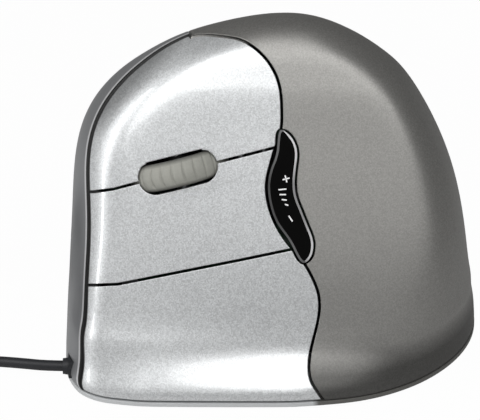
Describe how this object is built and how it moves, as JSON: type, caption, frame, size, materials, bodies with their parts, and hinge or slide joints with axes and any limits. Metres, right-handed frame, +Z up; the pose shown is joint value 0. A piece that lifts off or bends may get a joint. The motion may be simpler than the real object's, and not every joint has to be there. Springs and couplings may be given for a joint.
{
  "type": "vertical computer mouse",
  "caption": "Corded upright mouse for the left hand, with finger plates on one flank, a scroll wheel, a speed rocker, thumb buttons on the other flank and a flat base",
  "frame": {"origin": "centre of the footprint on the desk, at the underside of the glide feet, cord left out", "axes": "+Y towards the end the cord leaves, -X the finger side, +X the thumb side, +Z up"},
  "size_m": [0.084, 0.1754, 0.0831],
  "materials": {
    "silver_paint": "satin silver paint on moulded plastic",
    "shell_grey": "soft satin dark grey coating",
    "trim_grey": "satin grey plastic",
    "gloss_black": "polished black plastic",
    "base_grey": "grey plastic, its rim silver below the plates",
    "glide_white": "slippery low-friction plastic",
    "tyre_rubber": "soft grey rubber",
    "frame_black": "moulded plastic",
    "steel": "plain steel",
    "plated_steel": "plated sheet steel",
    "board_green": "lacquered circuit board",
    "switch_black": "moulded switch body",
    "plunger_white": "moulded white plastic",
    "chip_black": "epoxy chip body",
    "clear": "clear moulded plastic",
    "cord_black": "matt black flexible jacket",
    "ribbon_white": "flat flexible ribbon"
  },
  "bodies": {
    "case": {"base_plate": "base_grey", "board_parts": "chip_black", "button_pivot_rod": "steel", "cable_connector": "plunger_white", "carrier_pin": "steel", "case_screws": "steel", "click_switch_body": "switch_black", "controller_chip": "chip_black", "cord_coil": "cord_black", "cord_run": "cord_black", "cord_tail": "cord_black", "finger_board": "board_green", "finger_board_screws": "steel", "finger_frame": "frame_black", "finger_ribbon": "ribbon_white", "front_trim": "trim_grey", "glide_feet": "glide_white", "index_switch_body": "switch_black", "inner_lead": "cord_black", "light_pipe": "clear", "main_board": "board_green", "main_board_screws": "steel", "middle_switch_body": "switch_black", "plug_body": "cord_black", "plug_shell": "plated_steel", "plug_tongue": "plunger_white", "rear_shell": "shell_grey", "ring_switch_body": "switch_black", "rocker_board": "board_green", "rocker_cradle": "frame_black", "rocker_domes": "cord_black", "rocker_pin": "steel", "sensor_chip": "chip_black", "sensor_led": "clear", "sensor_lens": "clear", "strain_relief": "cord_black", "thumb_bezel": "gloss_black", "thumb_board": "board_green", "thumb_board_screws": "steel", "thumb_ribbon": "ribbon_white", "thumb_switch_bodies": "switch_black"},
    "index_button": {"index_button": "silver_paint"},
    "middle_button": {"middle_button": "silver_paint"},
    "ring_button": {"ring_button": "silver_paint"},
    "index_plunger": {"index_plunger": "plunger_white"},
    "middle_plunger": {"middle_plunger": "plunger_white"},
    "ring_plunger": {"ring_plunger": "plunger_white"},
    "wheel_carrier": {"wheel_carrier": "frame_black", "scroll_encoder": "frame_black"},
    "wheel": {"wheel_tyre": "tyre_rubber", "wheel_hub": "frame_black", "wheel_axle": "steel"},
    "click_plunger": {"click_plunger": "plunger_white"},
    "speed_rocker": {"speed_rocker": "gloss_black"},
    "thumb_button_lower": {"thumb_button_lower": "trim_grey"},
    "thumb_button_upper": {"thumb_button_upper": "trim_grey"},
    "thumb_plunger_lower": {"thumb_plunger_lower": "plunger_white"},
    "thumb_plunger_upper": {"thumb_plunger_upper": "plunger_white"}
  },
  "joints": [
    {"name": "index_rock", "type": "hinge", "parent": "case", "child": "index_button", "pos_m": [-0.01397, 0.002, 0.04257], "axis": [-0.3573, 0, -0.934], "range_deg": [0, 0.7], "stiffness_Nm_per_rad": 0.4},
    {"name": "index_press", "type": "slide", "parent": "case", "child": "index_plunger", "axis": [0.934, 0, -0.3573], "range_m": [0, 0.000244]},
    {"name": "middle_rock", "type": "hinge", "parent": "case", "child": "middle_button", "pos_m": [-0.01397, 0.002, 0.04257], "axis": [-0.3573, 0, -0.934], "range_deg": [0, 0.7], "stiffness_Nm_per_rad": 0.4},
    {"name": "middle_press", "type": "slide", "parent": "case", "child": "middle_plunger", "axis": [0.934, 0, -0.3573], "range_m": [0, 0.000308]},
    {"name": "ring_rock", "type": "hinge", "parent": "case", "child": "ring_button", "pos_m": [-0.01397, 0.002, 0.04257], "axis": [-0.3573, 0, -0.934], "range_deg": [0, 0.7], "stiffness_Nm_per_rad": 0.4},
    {"name": "ring_press", "type": "slide", "parent": "case", "child": "ring_plunger", "axis": [0.934, 0, -0.3573], "range_m": [0, 0.000282]},
    {"name": "wheel_tip", "type": "hinge", "parent": "case", "child": "wheel_carrier", "pos_m": [-0.01091, 0.00782, 0.05251], "axis": [-0.3467, -0.2419, -0.9062], "range_deg": [0, 0.8], "stiffness_Nm_per_rad": 0.5},
    {"name": "click_press", "type": "slide", "parent": "case", "child": "click_plunger", "axis": [0.934, 0, -0.3573], "range_m": [0, 0.000306]},
    {"name": "wheel_roll", "type": "hinge", "parent": "wheel_carrier", "child": "wheel", "pos_m": [-0.0122, 0.02227, 0.04914], "axis": [0.3467, 0.2419, 0.9062], "continuous": true},
    {"name": "rocker_tip", "type": "hinge", "parent": "case", "child": "speed_rocker", "pos_m": [-0.01777, -0.003, 0.04521], "axis": [0, -1, 0], "range_deg": [-1.45, 1.45], "stiffness_Nm_per_rad": 0.3},
    {"name": "thumb_lower_push", "type": "slide", "parent": "case", "child": "thumb_button_lower", "axis": [-0.9816, 0, -0.1908], "range_m": [0, 0.00035], "stiffness_N_per_m": 500},
    {"name": "thumb_lower_press", "type": "slide", "parent": "case", "child": "thumb_plunger_lower", "axis": [-0.9816, 0, -0.1908], "range_m": [0, 0.000367]},
    {"name": "thumb_upper_push", "type": "slide", "parent": "case", "child": "thumb_button_upper", "axis": [-0.9816, 0, -0.1908], "range_m": [0, 0.00035], "stiffness_N_per_m": 500},
    {"name": "thumb_upper_press", "type": "slide", "parent": "case", "child": "thumb_plunger_upper", "axis": [-0.9816, 0, -0.1908], "range_m": [0, 0.000367]}
  ],
  "couplings": [
    {"joint": "index_press", "follows": "index_rock", "m_per_rad": 0.019},
    {"joint": "middle_press", "follows": "middle_rock", "m_per_rad": 0.024},
    {"joint": "ring_press", "follows": "ring_rock", "m_per_rad": 0.022},
    {"joint": "click_press", "follows": "wheel_tip", "m_per_rad": 0.0209},
    {"joint": "thumb_lower_press", "follows": "thumb_lower_push", "ratio": 1},
    {"joint": "thumb_upper_press", "follows": "thumb_upper_push", "ratio": 1}
  ]
}
